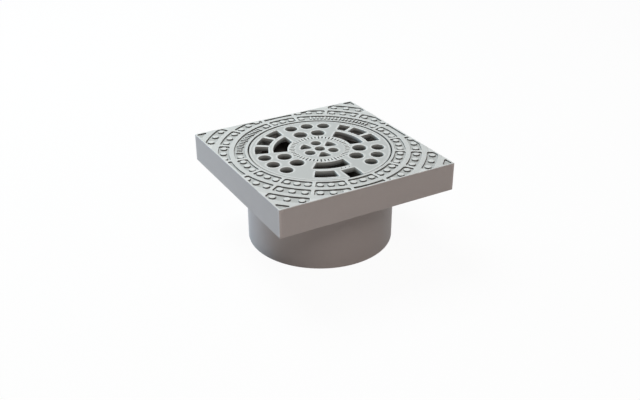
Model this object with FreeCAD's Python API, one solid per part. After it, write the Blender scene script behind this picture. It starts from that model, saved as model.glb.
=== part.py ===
# Square floor drain top: a moulded frame with a round pipe spigot, and the grate that drops into it.
# The frame stands on the foot of its spigot, centred on the origin, with the floor side up.
# Lengths are in millimetres. Angles are in degrees, counted from +X towards +Y.
import FreeCAD
import Part
import math
import os

Vector = FreeCAD.Vector
UP = Vector(0, 0, 1)
TOUCHING = 1e-6

# Frame: square plate with a skirt round its edge
frame_side = 140.0
frame_height = 70.0
skirt_height = 21.0
skirt_wall = 3.0
plate_thickness = 3.0
corner_radius = 0.5
top_edge_chamfer = 0.4

# Spigot that pushes into the drain pipe
spigot_diameter = 110.0
spigot_wall = 3.0
spigot_shoulder = 1.2

# Seat of the grate: a round recess in the plate with a ledge under it
seat_wall = 2.0
ledge_reach = 3.4
ledge_thickness = 2.4
grate_side_gap = 0.8
grate_sink = 0.3

# Stiffening ribs under the plate, from the spigot to the skirt
rib_count = 8
rib_thickness = 2.2
rib_lift = 3.0

# Anti-slip relief on the plate: rings of pockets, each with studs flush with the plate
sector_count = 16
pocket_depth = 1.0
pocket_width = 7.8
pocket_corner = 1.1
rim_land = 2.2
ring_land = 3.8
spoke_width = 2.4
border_width = 1.3
corner_pocket_leg = 8.4
least_pocket_share = 0.1
most_corner_share = 0.4
sector_stud_count = 3
stud_angle = 7.1
stud_base_radius = 2.6
stud_top_radius = 2.25
stud_sides = 10

# Two places in the first ring where three sectors make one long pocket
long_pocket_angles = (45.0, 135.0)
long_pocket_sector_count = 3

# Grate: a flat disc with two rows of openings round a centre cluster
grate_thickness = 3.5
ledge_clearance = 0.8
outer_row_width = 9.8
row_land = 3.6
inner_row_width = 10.5
outer_hole_diameter = 9.5
inner_hole_diameter = 10.5
outer_hole_angle = 17.4
inner_hole_angle = 27.3
hole_sides = 20
hole_groups = (74.0, 190.0, -43.7)
inner_pair_turn = 2.9

# Groups of windows between the groups of holes, each ended by a straight bar
window_angle = 16.8
window_pitch = 20.4
right_windows_start = -10.7
right_bar_angle = 45.0
right_bar_offset = -3.3
left_windows_start = 162.3
left_bar_angle = 90.0
left_bar_offset = 12.1
front_bar_angle = -135.0
front_bar_offset = 3.9
front_window_start = -124.6
front_window_end_angle = -99.0
front_window_end_offset = -3.8

# Lifting notch in the front edge of the grate
notch_width = 11.0
notch_depth = 13.0

# Centre cluster of the grate
centre_hole_diameter = 7.7
centre_ring_radius = 10.2
centre_ring_turn = 77.0
centre_ring_count = 3
wedge_inner_radius = 6.5
wedge_outer_radius = 14.3
wedge_spread = 30.0
wedge_side_offset = 2.2

# Sizes that follow from those above
half_side = frame_side / 2
skirt_foot = frame_height - skirt_height
plate_underside = frame_height - plate_thickness
rib_foot = skirt_foot + rib_lift
spigot_radius = spigot_diameter / 2
bore_radius = spigot_radius - spigot_wall
opening_radius = spigot_radius - seat_wall
ledge_radius = bore_radius - ledge_reach
grate_radius = opening_radius - grate_side_gap
grate_top = frame_height - grate_sink
seat_height = grate_top - grate_thickness
sector_angle = 360.0 / sector_count
ring_pitch = pocket_width + ring_land
pocket_floor = frame_height - pocket_depth
border = half_side - border_width
outer_row_outer = ledge_radius - ledge_clearance
outer_row_inner = outer_row_outer - outer_row_width
inner_row_outer = outer_row_inner - row_land
inner_row_inner = inner_row_outer - inner_row_width


def polar(radius, angle, height=0.0):
    """Point at a radius and an angle about the axis."""
    turn = math.radians(angle)
    return Vector(radius * math.cos(turn), radius * math.sin(turn), height)


def angle_on_side(side, radius):
    """Angle at which a straight side, given as its direction and its offset to the left, meets a radius."""
    direction, offset = side
    return direction + math.degrees(math.asin(offset / radius))


def arc(radius, start, end):
    """Edge along a circle about the axis."""
    return Part.Arc(polar(radius, start), polar(radius, (start + end) / 2), polar(radius, end)).toShape()


def ring_window(inner_radius, outer_radius, start_side, end_side):
    """Flat face between two radii and two straight sides, at height 0."""
    inner_start = angle_on_side(start_side, inner_radius)
    inner_end = angle_on_side(end_side, inner_radius)
    outer_start = angle_on_side(start_side, outer_radius)
    outer_end = angle_on_side(end_side, outer_radius)
    edges = [
        arc(inner_radius, inner_start, inner_end),
        Part.makeLine(polar(inner_radius, inner_end), polar(outer_radius, outer_end)),
        arc(outer_radius, outer_end, outer_start),
        Part.makeLine(polar(outer_radius, outer_start), polar(inner_radius, inner_start)),
    ]
    return Part.Face(Part.Wire(edges))


def many_sided(radius, sides, height):
    """Corners of a regular outline about the axis."""
    return [polar(radius, side * 360.0 / sides, height) for side in range(sides)]


def flat_face(corners):
    """Flat face from its corners."""
    return Part.Face(Part.makePolygon(corners + corners[:1]))


def square_prism(side, bottom, top):
    """Upright square block centred on the axis."""
    return Part.makeBox(side, side, top - bottom, Vector(-side / 2, -side / 2, bottom))


def upright_edges(shape):
    """Straight edges that run along Z."""
    edges = []
    for edge in shape.Edges:
        along = edge.Vertexes[-1].Point - edge.Vertexes[0].Point
        if math.hypot(along.x, along.y) < TOUCHING < abs(along.z):
            edges.append(edge)
    return edges


def top_edges(shape, height):
    """Edges that lie wholly in one level plane."""
    return [edge for edge in shape.Edges if abs(edge.BoundBox.ZMin - height) < TOUCHING]


def skirted_plate():
    """The square plate and the skirt round it, open underneath."""
    block = square_prism(frame_side, skirt_foot, frame_height)
    block = block.makeFillet(corner_radius, upright_edges(block))
    block = block.makeChamfer(top_edge_chamfer, top_edges(block, frame_height))
    return block.cut(square_prism(frame_side - 2 * skirt_wall, skirt_foot, plate_underside))


def spigot_with_seat():
    """The pipe spigot, turned as one profile: a shoulder stops the pipe, and a ledge carries the grate."""
    ledge_underside = seat_height - ledge_thickness
    outline = [
        (bore_radius, 0),
        (spigot_radius, 0),
        (spigot_radius, rib_foot),
        (spigot_radius + spigot_shoulder, rib_foot),
        (spigot_radius + spigot_shoulder, frame_height),
        (opening_radius, frame_height),
        (opening_radius, seat_height),
        (ledge_radius, seat_height),
        (ledge_radius, ledge_underside),
        (bore_radius, ledge_underside - ledge_reach),
        (bore_radius, 0),
    ]
    profile = Part.Face(Part.makePolygon([Vector(radius, 0, height) for radius, height in outline]))
    return profile.revolve(Vector(0, 0, 0), UP, 360)


def ribs():
    """Upright ribs from the spigot's wall to the skirt's wall, under the plate."""
    reach = half_side * math.sqrt(2)
    rib_height = plate_underside - rib_foot
    blades = []
    for index in range(rib_count):
        blade = Part.makeBox(reach, rib_thickness, rib_height, Vector(0, -rib_thickness / 2, rib_foot))
        blade.rotate(Vector(0, 0, 0), UP, index * 360.0 / rib_count)
        blades.append(blade)
    middle_of_wall = spigot_radius - spigot_wall / 2
    star = blades[0].multiFuse(blades[1:]).cut(Part.makeCylinder(middle_of_wall, frame_height))
    return star.common(square_prism(frame_side - skirt_wall, skirt_foot, frame_height))


def stud(radius, angle):
    """One stud as a flat-sided frustum that keeps its slope to above the plate."""
    slope = (stud_base_radius - stud_top_radius) / pocket_depth
    above = 2 * pocket_depth
    low = many_sided(stud_base_radius, stud_sides, 0.0)
    high = many_sided(stud_base_radius - slope * above, stud_sides, above)
    faces = [flat_face(low), flat_face(high)]
    for side in range(stud_sides):
        after = (side + 1) % stud_sides
        faces.append(flat_face([low[side], low[after], high[after], high[side]]))
    frustum = Part.Solid(Part.Shell(faces))
    frustum.rotate(Vector(0, 0, 0), UP, angle)
    frustum.translate(polar(radius, angle, pocket_floor))
    return frustum


def stud_angles(first_sector, last_sector):
    """Angles of the studs in a pocket. A pocket over several sectors has studs only at its two ends."""
    if first_sector == last_sector:
        middle = (sector_stud_count - 1) / 2
        steps = [index - middle for index in range(sector_stud_count)]
        return [first_sector * sector_angle + step * stud_angle for step in steps]
    end_shift = (sector_stud_count - 1) / 2 * stud_angle
    return [first_sector * sector_angle - end_shift, last_sector * sector_angle + end_shift]


def sunk(face):
    """Cutter for a pocket: the face carried down to the pocket's floor, with its upright corners blunted."""
    block = face.extrude(UP * (2 * pocket_depth))
    block.translate(UP * pocket_floor)
    shortest = min(edge.Length for edge in face.Edges)
    return block.makeChamfer(min(pocket_corner, most_corner_share * shortest), upright_edges(block))


def ring_pocket(inner_radius, first_sector, last_sector):
    """Cutters for one pocket of a ring, clipped by the plain border. None where little of it is left."""
    start_side = ((first_sector - 0.5) * sector_angle, spoke_width / 2)
    end_side = ((last_sector + 0.5) * sector_angle, -spoke_width / 2)
    whole = ring_window(inner_radius, inner_radius + pocket_width, start_side, end_side)
    inside = whole.common(Part.makePlane(2 * border, 2 * border, Vector(-border, -border, 0)))
    cutters = []
    for face in inside.Faces:
        if face.Area < least_pocket_share * whole.Area:
            continue
        cutter = sunk(face)
        for angle in stud_angles(first_sector, last_sector):
            middle = polar(inner_radius + pocket_width / 2, angle)
            if max(abs(middle.x), abs(middle.y)) < border:
                cutter = cutter.cut(stud(inner_radius + pocket_width / 2, angle))
        cutters.append(cutter)
    return cutters


def corner_pockets():
    """Cutters for the small three-cornered pockets in the plate's four corners."""
    tip = Vector(border, border, 0)
    face = flat_face([tip, tip - Vector(corner_pocket_leg, 0, 0), tip - Vector(0, corner_pocket_leg, 0)])
    cutters = []
    for quarter in range(4):
        cutter = sunk(face)
        cutter.rotate(Vector(0, 0, 0), UP, quarter * 90)
        cutters.append(cutter)
    return cutters


def relief():
    """All pockets of the plate, ring after ring outwards for as many rings as the corners leave room for."""
    first_ring = opening_radius + rim_land
    room = border * math.sqrt(2) - corner_pocket_leg / math.sqrt(2) - ring_land
    ring_count = int((room - first_ring - pocket_width) / ring_pitch) + 1
    side_step = long_pocket_sector_count // 2
    cutters = corner_pockets()
    for ring in range(ring_count):
        inner_radius = first_ring + ring * ring_pitch
        merged = set()
        if ring == 0:
            for angle in long_pocket_angles:
                middle = round(angle / sector_angle)
                merged.update(range(middle - side_step, middle + side_step + 1))
                cutters += ring_pocket(inner_radius, middle - side_step, middle + side_step)
        for sector in range(sector_count):
            if sector not in merged:
                cutters += ring_pocket(inner_radius, sector, sector)
    return cutters


def frame():
    """The frame as one moulding."""
    spigot_space = Part.makeCylinder(spigot_radius - spigot_wall / 2, frame_height)
    body = skirted_plate().cut(spigot_space).multiFuse([ribs(), spigot_with_seat()]).removeSplitter()
    return body.cut(relief())


def through(face):
    """Cutter through the grate's whole thickness."""
    cutter = face.extrude(UP * (3 * grate_thickness))
    cutter.translate(UP * (seat_height - grate_thickness))
    return cutter


def round_hole(diameter, radius, angle):
    """Round hole through the grate, many-sided to keep the repeated holes light."""
    face = flat_face(many_sided(diameter / 2, hole_sides, 0.0))
    face.translate(polar(radius, angle))
    return through(face)


def hole_groups_cut():
    """Three groups of round holes: three in the outer row and two in the inner row."""
    outer_middle = (outer_row_outer + outer_row_inner) / 2
    inner_middle = (inner_row_outer + inner_row_inner) / 2
    holes = []
    for group in hole_groups:
        for step in (-1, 0, 1):
            holes.append(round_hole(outer_hole_diameter, outer_middle, group + step * outer_hole_angle))
        for step in (-0.5, 0.5):
            angle = group + inner_pair_turn + step * inner_hole_angle
            holes.append(round_hole(inner_hole_diameter, inner_middle, angle))
    return holes


def outer_window(start_side, end_side):
    """Window in the outer row."""
    return through(ring_window(outer_row_inner, outer_row_outer, start_side, end_side))


def inner_window(start_side, end_side):
    """Long window in the inner row."""
    return through(ring_window(inner_row_inner, inner_row_outer, start_side, end_side))


def windows_cut():
    """Three groups of windows. The right and left ones have three outer windows, the front one has one."""
    right_bar_side = (right_bar_angle, right_bar_offset)
    left_bar_side = (left_bar_angle, left_bar_offset)
    front_bar_side = (front_bar_angle, front_bar_offset)
    front_window_side = (front_window_end_angle, front_window_end_offset)
    windows = []
    for index in range(2):
        start = right_windows_start + index * window_pitch
        windows.append(outer_window((start, 0), (start + window_angle, 0)))
        start = left_windows_start - index * window_pitch
        windows.append(outer_window((start - window_angle, 0), (start, 0)))
    windows.append(outer_window((right_windows_start + 2 * window_pitch, 0), right_bar_side))
    windows.append(outer_window(left_bar_side, (left_windows_start - 2 * window_pitch, 0)))
    windows.append(outer_window((front_window_start, 0), front_window_side))
    windows.append(inner_window((right_windows_start, 0), right_bar_side))
    windows.append(inner_window(left_bar_side, (left_windows_start, 0)))
    windows.append(inner_window(front_bar_side, (-90.0, notch_width / 2)))
    return windows


def lifting_notch():
    """Notch in the front edge where a finger or a key lifts the grate."""
    corner = Vector(-notch_width / 2, -2 * grate_radius, 0)
    return through(Part.makePlane(notch_width, grate_radius + notch_depth, corner))


def centre_cluster():
    """Round holes in the middle of the grate, with wedges between them."""
    openings = [round_hole(centre_hole_diameter, 0, 0)]
    step = 360.0 / centre_ring_count
    for index in range(centre_ring_count):
        hole_angle = centre_ring_turn + index * step
        wedge_angle = hole_angle + step / 2
        openings.append(round_hole(centre_hole_diameter, centre_ring_radius, hole_angle))
        start_side = (wedge_angle - wedge_spread, wedge_side_offset)
        end_side = (wedge_angle + wedge_spread, -wedge_side_offset)
        openings.append(through(ring_window(wedge_inner_radius, wedge_outer_radius, start_side, end_side)))
    return openings


def grate():
    """The grate as one flat moulding, lying on the ledge of the frame."""
    disc = Part.makeCylinder(grate_radius, grate_thickness, Vector(0, 0, seat_height))
    return disc.cut(hole_groups_cut() + windows_cut() + centre_cluster() + [lifting_notch()])


def save(name, shape):
    """Write one piece as a single clean solid."""
    solid = shape.Solids[0]
    print(name, "solids", len(shape.Solids), "valid", solid.isValid(), "volume", round(solid.Volume, 1))
    solid.exportStep(os.path.join("parts", name + ".step"))


os.makedirs("parts", exist_ok=True)
save("frame", frame())
save("grate", grate())
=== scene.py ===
# %% [markdown]
# # A floor drain: square frame and round grate
# The real object is two grey plastic mouldings. The frame is a square plate with a skirt round its edge
# and a pipe spigot below it, and the grate is a flat disc full of openings that lies in the frame's
# recess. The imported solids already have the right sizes, so this lesson starts from them and models
# each moulding again with the rounded lips, round studs and fine grain that catch the light on the real
# thing.

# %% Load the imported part
import math

import bpy
from mathutils import Matrix, Vector


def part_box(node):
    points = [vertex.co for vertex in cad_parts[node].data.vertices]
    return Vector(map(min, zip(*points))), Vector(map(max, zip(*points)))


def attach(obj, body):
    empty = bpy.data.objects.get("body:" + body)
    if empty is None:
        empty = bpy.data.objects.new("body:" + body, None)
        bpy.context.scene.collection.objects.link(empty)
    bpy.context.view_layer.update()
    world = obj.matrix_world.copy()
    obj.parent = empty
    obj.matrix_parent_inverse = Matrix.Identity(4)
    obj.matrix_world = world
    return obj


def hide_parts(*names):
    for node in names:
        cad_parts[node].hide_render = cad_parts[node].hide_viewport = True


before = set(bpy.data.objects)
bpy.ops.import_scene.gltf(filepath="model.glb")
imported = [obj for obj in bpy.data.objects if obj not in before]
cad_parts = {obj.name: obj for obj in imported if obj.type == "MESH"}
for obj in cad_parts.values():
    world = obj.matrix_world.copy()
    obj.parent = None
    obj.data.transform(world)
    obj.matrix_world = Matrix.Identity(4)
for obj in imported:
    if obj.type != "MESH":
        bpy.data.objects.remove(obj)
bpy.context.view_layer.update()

# %% [markdown]
# ## Sizes
# Blender's operators have tolerances that suit objects of a few units, and a lip a quarter of a
# millimetre wide is lost in them when one unit is a metre. So every piece is drawn with one unit to the
# millimetre, and shrunk a thousand times when it is finished. The main sizes are read from the solids,
# so that the two models can't drift.

# %% Main sizes in millimetres
MILLIMETRES = 1000.0
frame_high = Vector(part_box("frame")[1]) * MILLIMETRES
grate_low, grate_high = [Vector(corner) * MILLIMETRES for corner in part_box("grate")]
half_side = frame_high.x
top = frame_high.z
grate_radius = grate_high.x
grate_top = grate_high.z
seat_height = grate_low.z
print(f"plate {2 * half_side:.1f}, height {top:.1f}, grate radius {grate_radius:.1f} at {seat_height:.1f}")

# %% [markdown]
# ## Picking things by place
# An operator works on what is selected, and a script has no mouse. So one helper makes a piece the only
# selected object, and another enters edit mode and selects the vertices, edges or faces whose points
# all pass a test of place. A third closes up a mesh: doubles are merged first, then the normals are
# turned outwards.

# %% Selection helpers
CLOSE = 0.001


def leave_edit():
    """Return to object mode."""
    if bpy.context.mode != "OBJECT":
        bpy.ops.object.mode_set(mode="OBJECT")


def begin(piece):
    """Leave edit mode, and make one piece the only selected object and the active one."""
    leave_edit()
    bpy.ops.object.select_all(action="DESELECT")
    piece.select_set(True)
    bpy.context.view_layer.objects.active = piece


def edit_all(piece):
    """Enter edit mode with the whole of a piece selected."""
    begin(piece)
    bpy.ops.object.mode_set(mode="EDIT")
    bpy.ops.mesh.select_all(action="SELECT")


def pick(piece, kind, test):
    """Enter edit mode with the vertices, edges or faces selected whose points all pass the test."""
    begin(piece)
    bpy.ops.object.mode_set(mode="EDIT")
    bpy.ops.mesh.select_mode(type=kind)
    bpy.ops.mesh.select_all(action="DESELECT")
    leave_edit()
    mesh = piece.data
    passes = [test(vertex.co) for vertex in mesh.vertices]
    parts = {"VERT": mesh.vertices, "EDGE": mesh.edges, "FACE": mesh.polygons}[kind]
    for part in parts:
        corners = [part.index] if kind == "VERT" else part.vertices
        part.select = all(passes[corner] for corner in corners)
    bpy.ops.object.mode_set(mode="EDIT")


def settle():
    """Apply the place, turn and scale of what is selected to its mesh."""
    bpy.ops.object.transform_apply(location=True, rotation=True, scale=True)


def close_up(piece):
    """Merge doubles and turn all faces outwards."""
    edit_all(piece)
    bpy.ops.mesh.remove_doubles(threshold=CLOSE)
    bpy.ops.mesh.normals_make_consistent(inside=False)
    leave_edit()


def report(piece):
    """Print how much a piece holds and whether its shell has open edges."""
    uses = {}
    for face in piece.data.polygons:
        for key in face.edge_keys:
            uses[key] = uses.get(key, 0) + 1
    triangles = sum(len(face.vertices) - 2 for face in piece.data.polygons)
    open_edges = sum(count != 2 for count in uses.values())
    print(f"{piece.name}: {triangles} triangles, {open_edges} open edges")


print("points within", CLOSE, "mm of a level count as lying on it")

# %% [markdown]
# ## Outlines
# Nearly every opening on this object is a sector of a ring: two stretches of circle about the axis, and
# two straight sides. So an outline is a list of such parts, and each part can say where a small corner
# arc touches it.

# %% Straight sides and ring stretches
class Side:
    """Straight side with the inside on its left. Its offset from the axis is measured to the left."""

    def __init__(self, direction, offset):
        angle = math.radians(direction)
        self.along = Vector((math.cos(angle), math.sin(angle)))
        self.left = Vector((-math.sin(angle), math.cos(angle)))
        self.offset = offset

    def touch(self, centre, radius):
        return centre - radius * self.left


class Ring:
    """Stretch of a circle about the axis. It runs anticlockwise for way 1, clockwise for way -1."""

    def __init__(self, radius, way):
        self.radius = radius
        self.way = way

    def touch(self, centre, radius):
        return centre * (self.radius / centre.length)


print("outlines are lists of sides and rings")

# %% [markdown]
# ## Rounded corners
# A moulded corner is never sharp, so each corner gets a small arc that touches both of its neighbours.
# Its centre lies at one radius inside both, which is a short sum for two lines or for a line and a
# circle. A negative radius rounds an inward corner, such as the two at the back of the lifting notch.
# The mesh could be bevelled instead, but a drawn arc keeps its radius.

# %% Corner arcs
FLATNESS = 0.008


def corner_centre(first, second, radius, middle):
    """Centre of the arc between two neighbours. Of two answers, the one towards the middle is taken."""
    straight = [part for part in (first, second) if isinstance(part, Side)]
    if len(straight) == 2:
        one, two = straight
        reach_one = one.offset + radius
        reach_two = two.offset + radius
        cross = one.left.x * two.left.y - one.left.y * two.left.x
        across = reach_one * two.left.y - reach_two * one.left.y
        up = reach_two * one.left.x - reach_one * two.left.x
        return Vector((across / cross, up / cross))
    side = straight[0]
    ring = second if first is side else first
    away = ring.radius - ring.way * radius
    across = side.offset + radius
    along = math.sqrt(away ** 2 - across ** 2)
    spots = [across * side.left + sign * along * side.along for sign in (1, -1)]
    return max(spots, key=middle.dot)


def sweep(centre, start, end, way):
    """Points of an arc from one point to another, close enough to look round."""
    first, last = start - centre, end - centre
    radius = first.length
    turn = math.atan2(first.x * last.y - first.y * last.x, first.dot(last))
    if turn * way < -CLOSE:
        turn += way * math.tau
    widest = 2 * math.acos(max(0.0, 1 - FLATNESS / radius))
    steps = max(2, math.ceil(abs(turn) / widest))
    angle = math.atan2(first.y, first.x)
    places = [angle + turn * step / steps for step in range(steps + 1)]
    return [centre + radius * Vector((math.cos(place), math.sin(place))) for place in places]


def rounded_outline(parts, radii, middle):
    """Closed outline through the parts in turn, with one corner radius after each of them."""
    after = [*parts[1:], parts[0]]
    centres = [corner_centre(*corner, middle) for corner in zip(parts, after, radii)]
    starts = [part.touch(spot, radius) for part, spot, radius in zip(parts, centres, radii)]
    ends = [part.touch(spot, radius) for part, spot, radius in zip(after, centres, radii)]
    outline = []
    for index, part in enumerate(parts):
        if isinstance(part, Ring):
            outline += sweep(Vector((0, 0)), ends[index - 1], starts[index], part.way)
        outline += sweep(centres[index], starts[index], ends[index], math.copysign(1, radii[index]))
    return [point for index, point in enumerate(outline) if (point - outline[index - 1]).length > CLOSE]


print("arcs stay within", FLATNESS, "mm of a true circle")

# %% [markdown]
# ## Outlines ready to use
# A sector of a ring, a circle and a short bar with round ends serve for nearly all openings and marks.
# Mesh primitives could give the circle, but outlines all go into the same flat curve.

# %% Ready outlines
def heading(angle):
    """Unit vector at an angle in degrees."""
    return Vector((math.cos(math.radians(angle)), math.sin(math.radians(angle))))


def ring_opening(inner, outer, start, end, corner):
    """Outline of a sector of a ring between two sides, each a direction and an offset to its left."""
    sides = [Side(*start), Ring(outer, 1), Side(end[0] + 180, -end[1]), Ring(inner, -1)]
    return rounded_outline(sides, [corner] * len(sides), heading((start[0] + end[0]) / 2))


def circle(radius, centre=Vector((0, 0))):
    """Outline of a round hole."""
    start = centre + Vector((radius, 0))
    opposite = centre - Vector((radius, 0))
    return sweep(centre, start, opposite, 1)[:-1] + sweep(centre, opposite, start, 1)[:-1]


def stadium(radius, angle, length, width):
    """Outline of a short bar with round ends that points away from the axis."""
    out = heading(angle)
    across = Vector((-out.y, out.x)) * width / 2
    near = out * (radius - (length - width) / 2)
    far = out * (radius + (length - width) / 2)
    return sweep(far, far - across, far + across, 1) + sweep(near, near + across, near - across, 1)


print("a hole of 5 mm radius gets", len(circle(5)), "points")

# %% [markdown]
# ## From outlines to a plate with soft lips
# The outlines could be cut one by one out of a block with booleans, and every edge bevelled afterwards.
# It is quicker and cleaner to draw them all in one flat curve. A flat curve fills itself and treats
# what lies inside as holes. Its extrude gives the thickness, and its bevel gives the same small lip
# round every opening. An offset as large as the bevel keeps the walls on the drawn line. Then the curve
# is made a mesh and its doubles are merged.

# %% Flat curve to plate
LIP_STEPS = 3


def flat_curve(name, outlines):
    """One flat curve object with every outline as a closed spline."""
    curve = bpy.data.curves.new(name, "CURVE")
    curve.dimensions = "2D"
    for outline in outlines:
        spline = curve.splines.new("POLY")
        spline.points.add(len(outline) - 1)
        for point, place in zip(spline.points, outline):
            point.co = (place.x, place.y, 0, 1)
        spline.use_cyclic_u = True
    piece = bpy.data.objects.new(name, curve)
    bpy.context.collection.objects.link(piece)
    begin(piece)
    return piece


def cast_plate(name, outlines, low, high, lip):
    """Plate between two heights, with a rounded lip along every edge of both faces."""
    piece = flat_curve(name, outlines)
    piece.data.fill_mode = "BOTH"
    piece.data.extrude = (high - low) / 2 - lip
    piece.data.bevel_depth = lip
    piece.data.bevel_resolution = LIP_STEPS - 1
    piece.data.offset = -lip
    bpy.ops.object.convert(target="MESH")
    piece = bpy.context.object
    piece.location.z = (low + high) / 2
    settle()
    close_up(piece)
    return piece


print("plates are cast with", LIP_STEPS, "steps in each lip")

# %% [markdown]
# ## Cutting, joining and shading
# Several pieces are cut, joined and shaded in the same way. Smooth shading makes a lip of three steps
# look round, but it would also bend the light on large flat faces, so those are set flat again.

# %% Cutting, joining and shading
SMOOTH_ANGLE = math.radians(40)
STRAIGHT = 0.9999
WIDE_WALL = 100


def cut_away(piece, beyond):
    """Delete the faces whose points all lie beyond a level."""
    pick(piece, "FACE", beyond)
    bpy.ops.mesh.delete(type="FACE")
    leave_edit()


def join(pieces):
    """Join pieces into the first of them."""
    begin(pieces[0])
    for piece in pieces:
        piece.select_set(True)
    bpy.ops.object.join()
    return bpy.context.object


def shade_round(piece):
    """Shade a piece smooth and leave its sharp edges."""
    begin(piece)
    bpy.ops.object.shade_smooth_by_angle(angle=SMOOTH_ANGLE)


def smooth_lips(piece):
    """Shade the rounded lips smooth, and keep level faces and wide walls flat."""
    shade_round(piece)
    for face in piece.data.polygons:
        level = abs(face.normal.z) > STRAIGHT
        wall = max(abs(face.normal.x), abs(face.normal.y)) > STRAIGHT
        if level or (wall and face.area > WIDE_WALL):
            face.use_smooth = False


print("walls of more than", WIDE_WALL, "square mm are shaded flat")

# %% [markdown]
# ## The grate's windows
# The grate has three groups of windows that follow two rings about the axis, and a notch at the front
# for a finger or a screwdriver. Windows could be drawn by their corner points, but a start and an end
# on a named ring are easier to check. Some sides are straight bars that don't point at the axis, so a
# side is a direction and an offset.

# %% Windows of the grate
outer_row = (38.0, 47.8)
inner_row = (23.9, 34.4)
window_corner = 0.7
window_angle = 16.8
window_pitch = 20.4
right_start = -10.7
left_end = 162.3
bar_right = (45, -3.3)
bar_left = (90, 12.1)
bar_front = (-135, 3.9)
front_start = (-124.6, 0)
front_end = (-99.0, -3.8)
notch_half = 5.5


def window(row, start, end):
    """Window in one of the two rows of the grate."""
    return ring_opening(*row, start, end, window_corner)


right_ends = [(right_start + window_angle, 0), (right_start + window_pitch + window_angle, 0), bar_right]
windows = [window(inner_row, (right_start, 0), bar_right)]
for index, end in enumerate(right_ends):
    windows.append(window(outer_row, (right_start + index * window_pitch, 0), end))
left_starts = [(left_end - window_angle, 0), (left_end - window_pitch - window_angle, 0), bar_left]
windows.append(window(inner_row, bar_left, (left_end, 0)))
for index, start in enumerate(left_starts):
    windows.append(window(outer_row, start, (left_end - index * window_pitch, 0)))
windows.append(window(inner_row, bar_front, (-90, notch_half)))
windows.append(window(outer_row, front_start, front_end))
print(len(windows), "windows")

# %% [markdown]
# ## Holes and wedges
# Between the windows lie three groups of round holes, each with three on the outer row and two larger
# ones on the inner row. The middle has four small holes with three rounded wedges between them. They
# could be listed one by one, but a group that only says at which angle it lies is shorter and easier to
# check.

# %% Holes and wedges
group_angles = (74.0, 190.0, -43.7)
outer_hole = 9.5
outer_turn = 17.4
inner_hole = 10.5
inner_turn = 13.65
pair_shift = 2.9
holes = []
for group in group_angles:
    for turn in (-outer_turn, 0, outer_turn):
        holes.append(circle(outer_hole / 2, heading(group + turn) * sum(outer_row) / 2))
    pair = group + pair_shift
    for turn in (-inner_turn, inner_turn):
        holes.append(circle(inner_hole / 2, heading(pair + turn) * sum(inner_row) / 2))

cluster_start = 77
cluster_hole = 7.7
cluster_ring = 10.2
wedge_radii = (6.5, 14.3)
wedge_half_angle = 30
wedge_spacing = 2.2
wedge_corner = 1.0
cluster = [circle(cluster_hole / 2)]
for index in range(3):
    hole_angle = cluster_start + 120 * index
    wedge_angle = hole_angle + 60
    wedge_start = (wedge_angle - wedge_half_angle, wedge_spacing)
    wedge_end = (wedge_angle + wedge_half_angle, -wedge_spacing)
    cluster.append(circle(cluster_hole / 2, heading(hole_angle) * cluster_ring))
    cluster.append(ring_opening(*wedge_radii, wedge_start, wedge_end, wedge_corner))
print(len(holes), "round holes and", len(cluster), "openings in the middle")

# %% [markdown]
# ## Engraved marks
# The real grate has shallow engraved marks in a ring round the middle. Here they are a plain graduated
# ring, like the scale round a dial, with every fourth mark longer, and three more behind the notch. An
# engraved mark could be painted on with a bump, but it catches light and shade, so these are real
# recesses a millimetre deep. The two bands that hold them are named, because their floors and the
# painted shade in them are found by them later.

# %% Marks on the grate
mark_ring = 20.4
mark_count = 48
mark_width = 0.95
mark_lengths = (4.6, 3.2)
long_mark_step = 4
first_mark_angle = 3
mark_band_half = 2.9
mark_band = (mark_ring - mark_band_half, mark_ring + mark_band_half)
notch_mark_ring = 36.3
notch_mark_length = 1.5
notch_mark_turn = 5
notch_band_half = 1.1
notch_mark_band = (notch_mark_ring - notch_band_half, notch_mark_ring + notch_band_half)
marks = []
for index in range(mark_count):
    length = mark_lengths[0] if index % long_mark_step == 0 else mark_lengths[1]
    marks.append(stadium(mark_ring, index * 360 / mark_count + first_mark_angle, length, mark_width))
for turn in (-notch_mark_turn, 0, notch_mark_turn):
    marks.append(stadium(notch_mark_ring, -90 + turn, notch_mark_length, mark_width))
print(len(marks), "engraved marks")

# %% [markdown]
# ## The grate's moulding
# A mark is a hole that stops short. So the plate is cast twice: once with the marks and once without.
# The upper half of the first and the lower half of the second are kept, the marks get their floors, and
# the two halves meet along the same outlines, where merging the doubles makes one closed shell of them.

# %% Grate
grate_lip = 0.2
mark_depth = 1.0
mark_floor = grate_top - mark_depth
notch_back = 39.3
mouth_corner = 0.8
back_corner = 0.6
rim_sides = [Ring(grate_radius, 1), Side(90, notch_half), Side(0, -notch_back), Side(270, notch_half)]
rim = rounded_outline(rim_sides, [mouth_corner, -back_corner, -back_corner, mouth_corner], heading(-90))
openings = [rim, *windows, *holes, *cluster]
grate = cast_plate("grate_moulding", openings + marks, mark_floor - grate_lip, grate_top, grate_lip)
cut_away(grate, lambda point: point.z < mark_floor + CLOSE)


def in_mark_ring(point):
    """True on the ring of marks and on the three marks behind the notch."""
    from_middle = point.xy.length
    by_notch = abs(point.x) < notch_half - 1 and point.y < 0
    in_notch_band = notch_mark_band[0] < from_middle < notch_mark_band[1]
    return mark_band[0] < from_middle < mark_band[1] or (in_notch_band and by_notch)


pick(grate, "EDGE", lambda point: abs(point.z - mark_floor) < CLOSE and in_mark_ring(point))
bpy.ops.mesh.fill_holes(sides=0)
leave_edit()
lower = cast_plate("grate_lower", openings, seat_height, mark_floor + grate_lip, grate_lip)
cut_away(lower, lambda point: point.z > mark_floor - CLOSE)
grate = join([grate, lower])
close_up(grate)
smooth_lips(grate)
report(grate)

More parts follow.
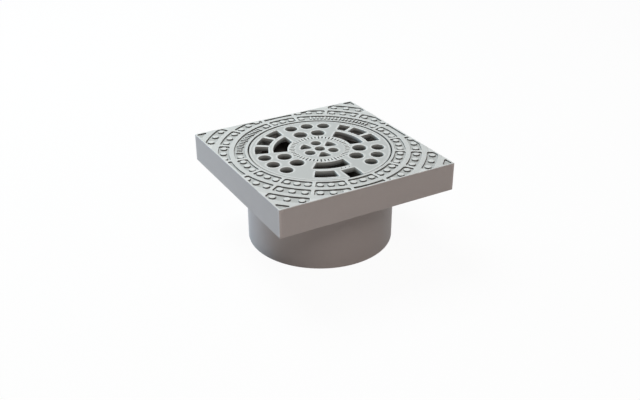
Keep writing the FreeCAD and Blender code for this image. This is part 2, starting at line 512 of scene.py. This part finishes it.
# %% [markdown]
# ## The frame's pockets
# The plate round the grate is moulded with shallow pockets that keep a wet foot from slipping. They lie
# in three rings, divided by sixteen spokes, and a straight border trims the outer rings where they
# reach the edge of the square. So a pocket starts as a sector of a ring, and where one of its outer
# corners falls beyond the border, the border's straight side takes that corner's place.

# %% Pocket outlines
pocket_depth = 1.0
pocket_floor = top - pocket_depth
pocket_width = 7.8
sector_count = 16
sector = 360 / sector_count
spoke_half = 1.2
border_width = 1.3
border = half_side - border_width
pocket_corner = 1.5
crescent_corner = 0.8
corner_pocket_leg = 8.4
corner_pocket_rounding = 0.9


def border_side(quarter):
    """The border's inner line along one of the plate's four sides."""
    return Side(90 * quarter + 90, -border)


def pocket(inner, first, last):
    """Outline of the pocket from one sector to another, trimmed by the border."""
    outer = inner + pocket_width
    start_angle = (first - 0.5) * sector
    end_angle = (last + 0.5) * sector
    middle = heading((start_angle + end_angle) / 2)
    lean = math.degrees(math.asin(spoke_half / outer))
    trims = []
    for angle in (start_angle + lean, end_angle - lean):
        quarter = round(angle / 90)
        beyond = outer * heading(angle - 90 * quarter).x > border
        trims.append(quarter if beyond else None)
    has_arc = trims[0] is None or trims[0] != trims[1]
    sides = [Side(start_angle, spoke_half)]
    if trims[0] is not None:
        sides.append(border_side(trims[0]))
    if has_arc:
        sides.append(Ring(outer, 1))
        if trims[1] is not None:
            sides.append(border_side(trims[1]))
    sides += [Side(end_angle + 180, spoke_half), Ring(inner, -1)]
    corner = pocket_corner if has_arc else crescent_corner
    return rounded_outline(sides, [corner] * len(sides), middle)


def corner_pocket(turn):
    """Outline of the three-cornered pocket in a corner of the plate."""
    slant = (2 * border - corner_pocket_leg) / math.sqrt(2)
    sides = [Side(90 + turn, -border), Side(180 + turn, -border), Side(315 + turn, slant)]
    return rounded_outline(sides, [corner_pocket_rounding] * 3, heading(45 + turn))


print("a sector is", sector, "degrees wide")

# %% [markdown]
# ## Rings of pockets
# A pocket is named by the first and the last sector that it covers. Two long pockets at the back of the
# first ring run over three sectors each, the second ring is whole, and the third has room only towards
# the corners, which also hold a small three-cornered pocket each. Rules are easier to check here than a
# list of places.

# %% Rings of pockets
ring_inner = (55.2, 66.8, 78.4)
long_pockets = [(1, 3), (5, 7)]
short_sectors = [0, 4, *range(8, sector_count)]
corner_sectors = (2, 6, 10, 14)
first_ring = [(index, index) for index in short_sectors] + long_pockets
second_ring = [(index, index) for index in range(sector_count)]
third_ring = [(index, index) for index in corner_sectors]
pocket_rings = list(zip(ring_inner, (first_ring, second_ring, third_ring)))
pockets = [corner_pocket(90 * index) for index in range(4)]
for inner, spans in pocket_rings:
    pockets += [pocket(inner, *span) for span in spans]
print(len(pockets), "pockets")

# %% [markdown]
# ## The frame's plate
# The plate is cast like the grate, and only its upper half is kept: every wall then ends on the
# pockets' floor, and the pockets' loops are filled as floors. Pockets cut out of a solid plate would
# leave no clean loops to go on from.

# %% Plate and pocket floors
plate_lip = 0.26
opening_radius = 53.0
corner_rounding = 0.5
edge_band = 1.0
in_plate = half_side - edge_band
by_recess = opening_radius + edge_band


def reach(point):
    """Distance from the axis along whichever of X and Y is larger."""
    return max(abs(point.x), abs(point.y))


def on_floor(point):
    """True at the height of the pockets' floor."""
    return abs(point.z - pocket_floor) < CLOSE


square_sides = [Side(90 * index, -half_side) for index in range(4)]
square = rounded_outline(square_sides, [corner_rounding] * 4, heading(0))
plate_outlines = [square, circle(opening_radius), *pockets]
plate = cast_plate("frame_moulding", plate_outlines, pocket_floor - plate_lip, top, plate_lip)
cut_away(plate, lambda point: point.z < pocket_floor + CLOSE)
pick(plate, "EDGE", lambda p: on_floor(p) and reach(p) < in_plate and p.xy.length > by_recess)
bpy.ops.mesh.fill_holes(sides=0)
leave_edit()
print(len(plate.data.polygons), "faces in the plate's top")

# %% [markdown]
# ## Skirt and underside
# The skirt is a thin wall that hangs from the plate's edge. A box could be joined on, but a seam would
# show. So the outermost loop is extruded down to make the skirt, in to make its foot and up again
# inside it. The loop of the grate's recess goes down to the underside of the plate, and a fill between
# the two loops closes the shell.

# %% Skirt and underside
plate_underside = 67.0
skirt_foot = 49.0
skirt_wall = 3.0
foot_rounding = 0.2


def move_loop(shift):
    """Extrude the selected loop and move the new one."""
    bpy.ops.mesh.extrude_edges_move(TRANSFORM_OT_translate={"value": shift})


def on_foot(point, outer):
    """True on the outer or on the inner edge of the skirt's foot."""
    return abs(point.z - skirt_foot) < CLOSE and (reach(point) > in_plate) == outer


pick(plate, "EDGE", lambda point: on_floor(point) and reach(point) > in_plate)
move_loop((0, 0, skirt_foot - pocket_floor))
move_loop((0, 0, 0))
inward = 1 - skirt_wall / half_side
bpy.ops.transform.resize(value=(inward, inward, 1), center_override=(0, 0, skirt_foot))
move_loop((0, 0, plate_underside - skirt_foot))
pick(plate, "EDGE", lambda point: on_floor(point) and point.xy.length < by_recess)
move_loop((0, 0, plate_underside - pocket_floor))
pick(plate, "EDGE", lambda point: abs(point.z - plate_underside) < CLOSE)
bpy.ops.mesh.fill(use_beauty=True)
for outer in (True, False):
    pick(plate, "EDGE", lambda point: on_foot(point, outer))
    bpy.ops.mesh.bevel(offset=foot_rounding, segments=2, affect="EDGES")
close_up(plate)
smooth_lips(plate)
report(plate)

# %% [markdown]
# ## The pipe spigot
# The spigot is a short pipe that pushes into the drain. It is round all over, so half of its section is
# drawn once as a flat outline, with each corner rounded a little, and spun about the axis. The section
# also has the shoulder that stops the spigot in the pipe, the haunch under the ledge, and the ledge
# that carries the grate.

# %% Spigot
spigot_radius = 55.0
bore_radius = 52.0
shoulder_radius = 56.2
shoulder_height = 52.0
ledge_radius = 48.6
ledge_underside = 63.8
haunch_height = 60.4
buried = 0.4
weld_slant = 0.6
mouth_rounding = 0.45
edge_rounding = 0.3
haunch_rounding = 0.8
seat_rounding = 0.15
hidden_rounding = 0.05
joint_rounding = 0.02
spin_steps = 180


def drawn(corners):
    """Outline through corners, each a place and a rounding, with the inside on the left."""
    places = [Vector(place) for place, rounding in corners]
    sides = []
    for index, place in enumerate(places):
        run = places[(index + 1) % len(places)] - place
        side = Side(math.degrees(math.atan2(run.y, run.x)), 0)
        side.offset = place.dot(side.left)
        sides.append(side)
    radii = [rounding for place, rounding in corners]
    return rounded_outline(sides, [*radii[1:], radii[0]], heading(0))


section = drawn([
    ((spigot_radius, 0), mouth_rounding),
    ((spigot_radius, shoulder_height), -edge_rounding),
    ((shoulder_radius, shoulder_height), edge_rounding),
    ((shoulder_radius, plate_underside + buried), hidden_rounding),
    ((opening_radius + weld_slant, plate_underside + buried), hidden_rounding),
    ((opening_radius, plate_underside), joint_rounding),
    ((opening_radius, seat_height), -seat_rounding),
    ((ledge_radius, seat_height), edge_rounding),
    ((ledge_radius, ledge_underside), edge_rounding),
    ((bore_radius, haunch_height), -haunch_rounding),
    ((bore_radius, 0), mouth_rounding),
])
spigot = flat_curve("spigot", [section])
spigot.data.fill_mode = "NONE"
bpy.ops.object.convert(target="MESH")
spigot = bpy.context.object
spigot.rotation_euler.x = math.radians(90)
settle()
edit_all(spigot)
bpy.ops.mesh.spin(steps=spin_steps, angle=math.tau, center=(0, 0, 0), axis=(0, 0, 1))
close_up(spigot)
shade_round(spigot)
report(spigot)

# %% [markdown]
# ## Ribs under the plate
# Eight thin blades stand between the spigot and the skirt, where they can't be seen from above. A blade
# is a cube drawn out to its length, a little thinner at its foot so that it would leave the mould, with
# its lower edges rounded. One straight blade and one diagonal blade are modelled, and the others are
# copies turned about the axis.

# %% Ribs
rib_thickness = 2.2
rib_foot = 52.0
rib_inner = 55.6
rib_draft = 0.8
rib_rounding = 0.35
rib_roof = plate_underside + buried
straight_overlap = 0.6
skirt_inside = half_side - skirt_wall


def turned_copy(piece, angle):
    """Copy of a piece with its own mesh, turned about the axis."""
    begin(piece)
    bpy.ops.object.duplicate(linked=False)
    copy = bpy.context.object
    copy.rotation_euler.z = math.radians(angle)
    settle()
    return copy


def blade(name, rib_outer):
    """One rib along the X axis."""
    bpy.ops.object.select_all(action="DESELECT")
    middle = ((rib_inner + rib_outer) / 2, 0, (rib_foot + rib_roof) / 2)
    size = (rib_outer - rib_inner, rib_thickness, rib_roof - rib_foot)
    bpy.ops.mesh.primitive_cube_add(size=1, location=middle, scale=size)
    piece = bpy.context.object
    piece.name = name
    settle()
    pick(piece, "VERT", lambda point: point.z < rib_foot + CLOSE)
    bpy.ops.transform.resize(value=(1, rib_draft, 1), center_override=(0, 0, rib_foot))
    pick(piece, "EDGE", lambda point: point.z < rib_foot + CLOSE)
    bpy.ops.mesh.bevel(offset=rib_rounding, segments=3, affect="EDGES")
    shade_round(piece)
    return piece


straight = blade("rib_straight", skirt_inside + straight_overlap)
diagonal = blade("rib_diagonal", skirt_inside * math.sqrt(2) + buried)
ribs = [straight]
ribs += [turned_copy(straight, 90 * index) for index in range(1, 4)]
ribs += [turned_copy(diagonal, 45 + 90 * index) for index in range(4)]
bpy.data.objects.remove(diagonal)
print(len(ribs), "ribs")

# %% [markdown]
# ## One stud
# Low round studs stand on the pockets' floors. They are all alike, so one is modelled with care: a
# cylinder whose top is drawn in and rounded. It starts below the floor and ends a hair below the plate,
# so that no two faces lie on each other.

# %% One stud
stud_base = 2.6
stud_top = 2.25
stud_lip = 0.25
below_land = 0.03
stud_roof = top - below_land
stud_root = pocket_floor - buried

bpy.ops.object.select_all(action="DESELECT")
stud_middle = (0, 0, (stud_root + stud_roof) / 2)
stud_size = {"radius": stud_base, "depth": stud_roof - stud_root}
bpy.ops.mesh.primitive_cylinder_add(vertices=28, location=stud_middle, **stud_size)
stud = bpy.context.object
stud.name = "stud"
settle()
drawn_in = stud_top / stud_base
pick(stud, "VERT", lambda point: point.z > stud_roof - CLOSE)
bpy.ops.transform.resize(value=(drawn_in, drawn_in, 1), center_override=(0, 0, stud_roof))
pick(stud, "EDGE", lambda point: point.z > stud_roof - CLOSE)
bpy.ops.mesh.bevel(offset=stud_lip, segments=3, affect="EDGES")
smooth_lips(stud)
report(stud)

# %% [markdown]
# ## Studs in their places
# A short pocket has room for three studs, and a long one has a stud at each end. An array modifier
# could lay out a whole ring, but the border leaves some out, so each place is tested and gets its own
# copy. Those that would pass through the border are trimmed by a bisect inside its thickness, where the
# cut can't be seen.

# %% Studs in their places
stud_spacing = 7.1
trim_depth = 0.6
stud_places = []
for inner, spans in pocket_rings:
    for first, last in spans:
        angles = [first * sector - stud_spacing, last * sector + stud_spacing]
        if first == last:
            angles.append(first * sector)
        for angle in angles:
            place = heading(angle) * (inner + pocket_width / 2)
            if reach(place) < border:
                stud_places.append(place)

copies = []
for place in stud_places:
    begin(stud)
    bpy.ops.object.duplicate(linked=False)
    copy = bpy.context.object
    copy.location = (place.x, place.y, 0)
    copies.append(copy)
bpy.data.objects.remove(stud)
studs = join(copies)
settle()
trim = half_side - trim_depth
for turn in range(4):
    out = heading(90 * turn)
    edit_all(studs)
    plane = {"plane_co": (out.x * trim, out.y * trim, 0), "plane_no": (out.x, out.y, 0)}
    bpy.ops.mesh.bisect(**plane, use_fill=True, clear_outer=True)
leave_edit()
report(studs)

# %% [markdown]
# ## Raised bars in the long pockets
# The two long pockets at the back carry raised marks between their end studs. They are plain radial
# bars here, like the divisions of a scale, cast as one flat curve that stands on the pockets' floor.

# %% Raised bars
bar_ring = ring_inner[0] + pocket_width / 2
bar_lengths = (5.4, 3.8)
bar_width = 1.35
bar_pitch = 2.8
bar_lip = 0.2
bars_each_way = 8
long_bar_step = 4
bars = []
for first, last in long_pockets:
    middle = (first + last) / 2 * sector
    for index in range(-bars_each_way, bars_each_way + 1):
        length = bar_lengths[0] if index % long_bar_step == 0 else bar_lengths[1]
        bars.append(stadium(bar_ring, middle + bar_pitch * index, length, bar_width))
scale_bars = cast_plate("raised_bars", bars, stud_root, stud_roof, bar_lip)
smooth_lips(scale_bars)
report(scale_bars)

# %% [markdown]
# ## Two finished mouldings
# The frame's plate, spigot, ribs, studs and bars are one piece of plastic, so they are joined into one
# object. Each part is a closed shell that reaches a little into its neighbour. Last of all, both
# mouldings are shrunk from millimetres to metres, and the scale is applied so that their objects sit
# unturned at the origin.

# %% Join and shrink
frame_moulding = join([plate, spigot, *ribs, studs, scale_bars])
for piece in (frame_moulding, grate):
    begin(piece)
    piece.scale = [1 / MILLIMETRES] * 3
    settle()
    report(piece)

# %% [markdown]
# ## Shader maths
# A finish is a little sum of textures. Written as nodes one by one, a sum is hard to read, so a small
# class wraps a node's output and lets it stand in a Python expression: adding or multiplying two of
# them adds a Math node.

# %% Sockets
SOFT_STEP = 0.15


class Socket:
    """Output of a shader node that can stand in a Python sum."""

    def __init__(self, paint, output):
        self.paint = paint
        self.output = output

    def math(self, operation, first, second):
        return self.paint.node("Math", {"operation": operation}, {0: first, 1: second})

    def __add__(self, other):
        return self.math("ADD", self, other)

    def __sub__(self, other):
        return self.math("SUBTRACT", self, other)

    def __rsub__(self, other):
        return self.math("SUBTRACT", other, self)

    def __mul__(self, other):
        return self.math("MULTIPLY", self, other)

    __radd__ = __add__
    __rmul__ = __mul__

    def size(self):
        """The value without its sign."""
        return self.math("ABSOLUTE", self, 0.0)

    def larger(self, other):
        return self.math("MAXIMUM", self, other)

    def ramp(self, low, high):
        """Nought below the low value, one above the high one, and smooth between them."""
        sockets = {"Value": self, "From Min": low, "From Max": high}
        return self.paint.node("MapRange", {"interpolation_type": "SMOOTHSTEP"}, sockets)

    def above(self, level, step=SOFT_STEP):
        """One above a level in millimetres and nought below it, with a soft step."""
        return self.ramp(level / MILLIMETRES, (level + step) / MILLIMETRES)

    def between(self, low, high):
        """One between two levels in millimetres and nought outside them."""
        return self.above(low) * (1 - self.above(high))


print("a soft step is", SOFT_STEP, "mm wide")

# %% [markdown]
# ## Paint
# A material keeps its nodes in a tree, and so does the world. A second small class holds the tree, and
# one method adds any node: it sets the options first and then the sockets. The node editor does the
# same by hand, but a large tree is hard to follow there.

# %% Paint
class Paint:
    """Node tree of a material or a world, with one method that adds any node."""

    def __init__(self, owner):
        owner.use_nodes = True
        self.tree = owner.node_tree
        self.tree.nodes.clear()

    def node(self, kind, settings=None, sockets=None, output=0):
        made = self.tree.nodes.new("ShaderNode" + kind)
        for name, value in (settings or {}).items():
            setattr(made, name, value)
        for name, value in (sockets or {}).items():
            if isinstance(value, Socket):
                self.tree.links.new(value.output, made.inputs[name])
            else:
                made.inputs[name].default_value = value
        return Socket(self, made.outputs[output]) if made.outputs else None

    def part(self, vector, axis):
        """One coordinate of a vector."""
        return self.node("SeparateXYZ", None, {"Vector": vector}, output=axis)

    def flattened(self, vector):
        """The vector with its height taken away."""
        return self.node("VectorMath", {"operation": "MULTIPLY"}, {0: vector, 1: (1, 1, 0)})

    def distance(self, vector):
        """Length of a vector."""
        return self.node("VectorMath", {"operation": "LENGTH"}, {0: vector}, "Value")

    def noise(self, place, scale, detail):
        """Noise texture over a place."""
        return self.node("TexNoise", None, {"Vector": place, "Scale": scale, "Detail": detail})

    def blend(self, factor, first, second):
        """Mix of two colours."""
        settings = {"data_type": "RGBA"}
        return self.node("Mix", settings, {0: factor, 6: first, 7: second}, output=2)


print("shader helpers ready")

# %% [markdown]
# ## Rims, inner corners and walls
# Rims and corners are painted paler, partly as wear and partly as a highlight, and inner corners and
# walls are painted darker as shade. Such places could be painted by hand, but they follow the shape, so
# the shape can find them. A Bevel node gives the normal that a rounded edge would have, and where it
# differs from the true normal, an inner corner is near. An Ambient Occlusion node that looks into the
# plastic finds the rims, because its rays soon come out again there.

# %% Rims, inner corners and walls
corner_reach = 0.7
corner_range = (0.0, 0.2)
rim_reach = 2.2
rim_range = (0.05, 0.22)


def surface_edges(paint):
    """Inner corners, rims, and how upright the surface is."""
    facing = paint.node("NewGeometry", output="Normal")
    radius = {"Radius": corner_reach / MILLIMETRES}
    rounded = paint.node("Bevel", {"samples": 6}, radius)
    dot_product = {"operation": "DOT_PRODUCT"}
    agreement = paint.node("VectorMath", dot_product, {0: facing, 1: rounded}, "Value")
    inside = {"inside": True, "only_local": True, "samples": 8}
    depth = paint.node("AmbientOcclusion", inside, {"Distance": rim_reach / MILLIMETRES}, "AO")
    upright = 1 - paint.part(facing, "Z").size()
    return (1 - agreement).ramp(*corner_range), (1 - depth).ramp(*rim_range), upright


print("rims are found within", rim_reach, "mm, inner corners within", corner_reach, "mm")

# %% [markdown]
# ## Painted highlights, darker floors and painted shade
# The lands are painted paler as a highlight, the studs more than the land round them, and the rims of
# the openings and the skirt's corners are painted paler, partly as wear and partly as a highlight. The
# pockets' floors, and more thinly the grate's top, are made a darker grey. Painted shade lies on the
# pockets' walls, in the marks, low in the openings and in the seam round the back of the grate.
# Height, distance from the axis and the normal tell these places apart, so each layer is a short
# product of such tests.

# %% Painted highlights, darker floors and painted shade
# Strengths of the painted highlights, which are partly wear, of the darker floors and grate, and of the
# painted shade.
land_highlight = 0.37
stud_highlight = 0.43
rim_highlight_and_wear = 0.9
corner_highlight_and_wear = 0.6
pocket_floor_darkening = 0.8
grate_darkening = 0.6
corner_shade = 0.5
seam_edge_shade = 0.6
deep_shade = 0.75
seam_reach = 0.8
stud_margin = pocket_width / 2 - stud_base
land_margin = 0.2
floor_margin = 0.25
side_margin = 0.3
corner_band = 3
opening_band = 3
foot_fade = 1
deep_start = 0.5
deep_fade = 2
rear = heading(60)
rear_start = -35
rear_fade = 30
wall_range = (0.2, 0.5)
lip_range = (0.02, 0.2)


def tints_highlights_and_shade(paint, place):
    """Darker floors, painted highlights that are partly wear, walls of the openings, and painted shade."""
    inner_corners, rims, upright = surface_edges(paint)
    walls = upright.ramp(*wall_range)

    # Lands, pockets, seam, marks and openings, from the place
    height = paint.part(place, "Z")
    from_axis = paint.distance(paint.flattened(place))
    sideways = paint.part(place, "X").size()
    lengthways = paint.part(place, "Y").size()
    at_corners = sideways.above(half_side - corner_band) * lengthways.above(half_side - corner_band)
    to_rear = rear.x * paint.part(place, "X") + rear.y * paint.part(place, "Y")
    raised = height.above(pocket_floor + land_margin)
    on_plate = height.above(pocket_floor - floor_margin) * from_axis.above(opening_radius + side_margin)
    on_grate = 1 - from_axis.above(grate_radius - seam_reach)
    inside_border = 1 - sideways.larger(lengthways).above(border + side_margin)
    studded = [(inner + stud_margin, inner + pocket_width - stud_margin) for inner in ring_inner]
    in_rings = sum(from_axis.between(*band) for band in studded)
    in_seam = from_axis.between(grate_radius - seam_reach, opening_radius + seam_reach)
    in_seam = in_seam * height.above(seat_height)
    in_marks = from_axis.between(*mark_band) + from_axis.between(*notch_mark_band)
    in_marks = in_marks * height.between(mark_floor - SOFT_STEP, grate_top - side_margin)
    in_openings = walls * height.between(seat_height, grate_top - grate_lip)
    in_openings = in_openings * (1 - from_axis.above(grate_radius - opening_band))

    # Layers on those places
    # The pockets' floors, and more thinly the grate's top, are made a darker grey.
    darker_floors_and_grate = pocket_floor_darkening * on_plate * (1 - raised) + grate_darkening * on_grate * raised
    # Painted highlight: the lands, and most of all the studs, are painted paler; the grate's rims are paler
    # partly as wear.
    highlight_and_wear = on_plate * (land_highlight + stud_highlight * in_rings) + rim_highlight_and_wear * rims * on_grate
    # Painted highlight, partly wear, on the skirt's corners above its foot.
    corner_highlight = corner_highlight_and_wear * rims * at_corners * height.above(skirt_foot + foot_fade, foot_fade)
    # Painted shade on the pockets' walls and in their inner corners.
    relief_shade = walls * on_plate * inside_border + corner_shade * inner_corners * on_plate * (1 - raised)
    # Painted shade in the seam round the back of the grate.
    seam_shade = (upright.ramp(*lip_range) + seam_edge_shade * inner_corners) * in_seam
    seam_shade = seam_shade * to_rear.above(rear_start, rear_fade)
    # Painted shade low in the openings of the grate.
    shade_low_in_openings = deep_shade * in_openings * (1 - height.above(seat_height + deep_start, deep_fade))
    # The painted shade adds up the relief, the seam, the engraved marks and the openings.
    painted_shade = relief_shade + seam_shade + in_marks + shade_low_in_openings
    return darker_floors_and_grate, (highlight_and_wear * raised).larger(corner_highlight), in_openings, painted_shade


# The studs and the other lands are painted paler as a highlight.
print("studs are rubbed", land_highlight + stud_highlight, "and other lands", land_highlight)

# %% [markdown]
# ## Grey moulded plastic
# The real plastic is a pale, slightly green grey with a satin skin. Under a close look it isn't one
# flat colour: the pigment clouds gently, and the mould's blasted steel leaves a fine grain that breaks
# up the highlights. A scanned picture could give such a skin, but noise has no seams. Two noises cloud
# the pigment, a third bumps the normal, and over it are blended in this order: a darker grey on the
# pockets' floors and the grate's top, painted highlights that are partly wear, a darker, greener tint
# on the walls of the openings, and painted shade.

# %% Plastic
cloud_scale = 55.0
mottle_scale = 420.0
grain_scale = 2600.0
cloud_share = 0.65
mottle_share = 0.35
dull_grey = (0.57, 0.58, 0.575, 1)
clear_grey = (0.65, 0.66, 0.65, 1)
# Over the pigment: a darker grey for floors and grate top, a pale grey for painted highlights that are
# partly wear, a greener grey for opening walls, and a near-black grey for painted shade.
darker_grey = (0.53, 0.545, 0.54, 1)
highlight_grey = (0.80, 0.81, 0.80, 1)
opening_wall_grey = (0.51, 0.58, 0.56, 1)
shade_grey = (0.08, 0.084, 0.08, 1)
opening_wall_tint = 0.5
shade_strength = 0.95
satin = 0.42
cloud_roughness = 0.14
mottle_roughness = 0.08
shade_roughness = 0.1
grain_bump = {"Strength": 0.12, "Distance": 0.0002}
gloss = {"IOR": 1.46, "Specular IOR Level": 0.35}


def grey_plastic():
    """Satin grey plastic with clouded pigment, a fine mould grain, painted highlights and painted shade."""
    material = bpy.data.materials.new("grey_plastic")
    paint = Paint(material)
    place = paint.node("TexCoord", output="Object")
    clouds = paint.noise(place, cloud_scale, 4.0)
    mottle = paint.noise(place, mottle_scale, 2.0)
    grain = paint.noise(place, grain_scale, 2.0)
    darker_floors_and_grate, highlight_and_wear, in_openings, painted_shade = tints_highlights_and_shade(paint, place)
    colour = paint.blend(cloud_share * clouds + mottle_share * mottle, dull_grey, clear_grey)
    # A darker grey on the pockets' floors and the grate's top.
    colour = paint.blend(darker_floors_and_grate, colour, darker_grey)
    # Painted highlight, partly wear.
    colour = paint.blend(highlight_and_wear, colour, highlight_grey)
    # A darker, greener tint on the walls of the openings.
    colour = paint.blend(opening_wall_tint * in_openings, colour, opening_wall_grey)
    # Painted shade in the relief, the seam, the marks and low in the openings.
    colour = paint.blend(shade_strength * painted_shade, colour, shade_grey)
    skin = satin + cloud_roughness * clouds + mottle_roughness * mottle + shade_roughness * painted_shade
    bump = paint.node("Bump", None, {**grain_bump, "Height": grain})
    sockets = {"Base Color": colour, "Roughness": skin, "Normal": bump, **gloss}
    shader = paint.node("BsdfPrincipled", None, sockets)
    paint.node("OutputMaterial", None, {"Surface": shader})
    return material


plastic = grey_plastic()
for piece in (frame_moulding, grate):
    piece.data.materials.clear()
    piece.data.materials.append(plastic)
print("finish", plastic.name)

# %% [markdown]
# ## Camera
# The photograph looks down on the near corner from about 28 degrees above the horizon. It could be
# matched by eye, but a fit to the plate's edges and the spigot's outline is closer, and the place, turn
# and lens that it gave are repeated here. Three directions, to the right, up and back, make the
# camera's own axes.

# %% Camera
camera_place = Vector((-0.27672, -0.48237, 0.32240))
azimuth = math.radians(-29.844)
elevation = math.radians(27.998)
roll = math.radians(-0.073)
right = Vector((math.cos(azimuth), math.sin(azimuth), 0))
back = Vector((
    math.sin(azimuth) * math.cos(elevation),
    -math.cos(azimuth) * math.cos(elevation),
    math.sin(elevation),
))
upward = back.cross(right)
rolled_right = math.cos(roll) * right + math.sin(roll) * upward
rolled_up = math.cos(roll) * upward - math.sin(roll) * right
bpy.ops.object.camera_add(location=camera_place)
camera = bpy.context.object
camera.rotation_euler = Matrix((rolled_right, rolled_up, back)).transposed().to_euler()
camera.data.lens = 46.53
camera.data.sensor_width = 36.0
camera.data.clip_start = 0.01
bpy.context.scene.camera = camera
print("camera at", tuple(round(value, 3) for value in camera.location))

# %% [markdown]
# ## Floor
# The photograph has a plain white ground. The floor is a matt sheet that looks white to the camera and
# still shows a soft shadow: what the camera sees is mostly plain white, with a little of the lit floor.
# To the object it is a duller, warmer sheet, because the photograph's shaded sides are warm. Inside the
# spigot it is nearly black: painted shade under the grate.

# %% Floor
floor_size = 40.0
warm_floor = (0.60, 0.49, 0.46, 1)
pale_floor = (0.95, 0.95, 0.95, 1)
painted_drain_shade = (0.02, 0.02, 0.02, 1)
plain_white = (1, 1, 1, 1)
white_share = 0.95


def seen_directly(paint):
    """One where a ray comes straight from the camera, or through a reflection or glass."""
    kinds = ("Is Camera Ray", "Is Glossy Ray", "Is Transmission Ray")
    straight_on, glossy, through = [paint.node("LightPath", output=kind) for kind in kinds]
    return paint.node("Clamp", None, {"Value": straight_on + glossy + through})


bpy.ops.object.select_all(action="DESELECT")
bpy.ops.mesh.primitive_plane_add(size=floor_size, location=(0, 0, 0))
floor = bpy.context.object
floor.name = "floor"
floor_material = bpy.data.materials.new("floor_white")
paint = Paint(floor_material)
seen = seen_directly(paint)
from_axis = paint.distance(paint.node("TexCoord", output="Object"))
pipe_edge = (bore_radius + spigot_radius) / 2 / MILLIMETRES
outside = paint.node("Math", {"operation": "GREATER_THAN"}, {0: from_axis, 1: pipe_edge})
open_floor = paint.blend(seen, warm_floor, pale_floor)
# Inside the pipe the floor is painted nearly black as shade.
lit_colour = paint.blend(outside, painted_drain_shade, open_floor)
lit = paint.node("BsdfDiffuse", None, {"Color": lit_colour})
white = paint.node("Emission", None, {"Color": plain_white, "Strength": 1.0})
ground = paint.node("MixShader", None, {0: white_share * seen * outside, 1: lit, 2: white})
paint.node("OutputMaterial", None, {"Surface": ground})
floor.data.materials.append(floor_material)
print("floor of", floor_size, "m")

# %% [markdown]
# ## Dark card in the pipe
# A real drain is dark under its grate. The pipe below could be modelled, but it isn't part of this
# object. So a dark closed cylinder stands in the spigot as painted shade, where it shows only through
# the grate's openings.

# %% Dark card in the pipe
card_gap = 0.8
card_drop = 4.4
pipe_shade_colour = (0.052, 0.046, 0.043, 1)
card_height = (haunch_height - card_drop) / MILLIMETRES
card_size = {"radius": (bore_radius - card_gap) / MILLIMETRES, "depth": card_height}
bpy.ops.mesh.primitive_cylinder_add(vertices=64, location=(0, 0, card_height / 2), **card_size)
shade = bpy.context.object
shade.name = "pipe_shade"
shade_material = bpy.data.materials.new("matt_black")
paint = Paint(shade_material)
# The card's dark colour is painted shade.
dark = paint.node("BsdfDiffuse", None, {"Color": pipe_shade_colour})
paint.node("OutputMaterial", None, {"Surface": dark})
shade.data.materials.append(shade_material)
print("card", round(card_height * MILLIMETRES, 1), "mm high")

# %% [markdown]
# ## World
# The world gives the light that comes from everywhere. Seen directly it is white like the photograph's
# ground, and to the object it is a dim, warm sky, so that the sides away from the lamps stay in shade.

# %% World
dim_sky = (0.11, 0.094, 0.089, 1)
world = bpy.data.worlds.new("studio")
bpy.context.scene.world = world
paint = Paint(world)
sky = paint.blend(seen_directly(paint), dim_sky, plain_white)
background = paint.node("Background", None, {"Color": sky})
paint.node("OutputWorld", None, {"Surface": background})
print("world", world.name)

# %% [markdown]
# ## Lamps
# The photograph's light comes from above and behind, and the sides fall into shade, cool on the left
# and warm on the right. So a large soft box hangs above and behind the object, a far cool one stands
# low behind it on the left, and a weaker warm one hangs high in front, where it lights the walls of the
# openings and leaves the skirt's shadow on the spigot. Their places and strengths were weighed against
# the photograph.

# %% Lamps
lamp_target = Vector((0, 0, 0.06))


def soft_lamp(name, place, size, power, colour):
    """Square soft box that faces the object."""
    bpy.ops.object.light_add(type="AREA", location=place)
    lamp = bpy.context.object
    lamp.name = name
    lamp.data.size = size
    lamp.data.energy = power
    lamp.data.color = colour
    lamp.rotation_euler = (Vector(place) - lamp_target).to_track_quat("Z", "Y").to_euler()


soft_lamp("overhead", place=(-0.12, 0.61, 1.035), size=0.6, power=10.2, colour=(0.90, 1.0, 1.0))
soft_lamp("left", place=(-1.1, 1.9, 0.3), size=0.5, power=23.0, colour=(0.55, 0.77, 1.0))
soft_lamp("front", place=(-0.25, -0.8, 1.1), size=0.5, power=3.8, colour=(1.0, 0.86, 0.81))
print("three lamps")

# %% [markdown]
# ## Hand over
# Each moulding takes the place of its solid and rides on the one body that the part has.

# %% Bodies
bpy.context.scene.view_settings.view_transform = "Standard"
for piece, node in ((frame_moulding, "frame"), (grate, "grate")):
    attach(piece, "root")
    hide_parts(node)
